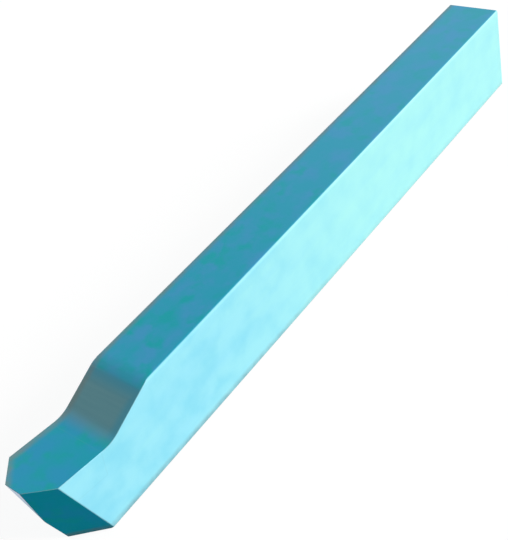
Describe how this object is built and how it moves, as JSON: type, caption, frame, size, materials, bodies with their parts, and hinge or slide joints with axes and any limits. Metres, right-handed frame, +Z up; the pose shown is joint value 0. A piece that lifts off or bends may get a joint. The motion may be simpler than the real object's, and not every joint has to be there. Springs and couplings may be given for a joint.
{
  "type": "brazed carbide lathe tool",
  "caption": "Straight pointed turning tool: rectangular steel shank, ramp down to a lower nose, and a blunt-pointed carbide plate brazed into a sloped seat, painted all over.",
  "frame": {"origin": "middle of the tool's length and width, on its base", "axes": "+X along the shank from the rear end to the cutting point, +Y across the shank, +Z up from the base"},
  "size_m": [0.12, 0.01, 0.016],
  "materials": {
    "shank_enamel": "satin",
    "tip_enamel": "satin",
    "seam_enamel": "satin"
  },
  "bodies": {
    "root": {"shank": "shank_enamel", "carbide_tip": "tip_enamel", "braze_layer": "seam_enamel"}
  },
  "joints": []
}
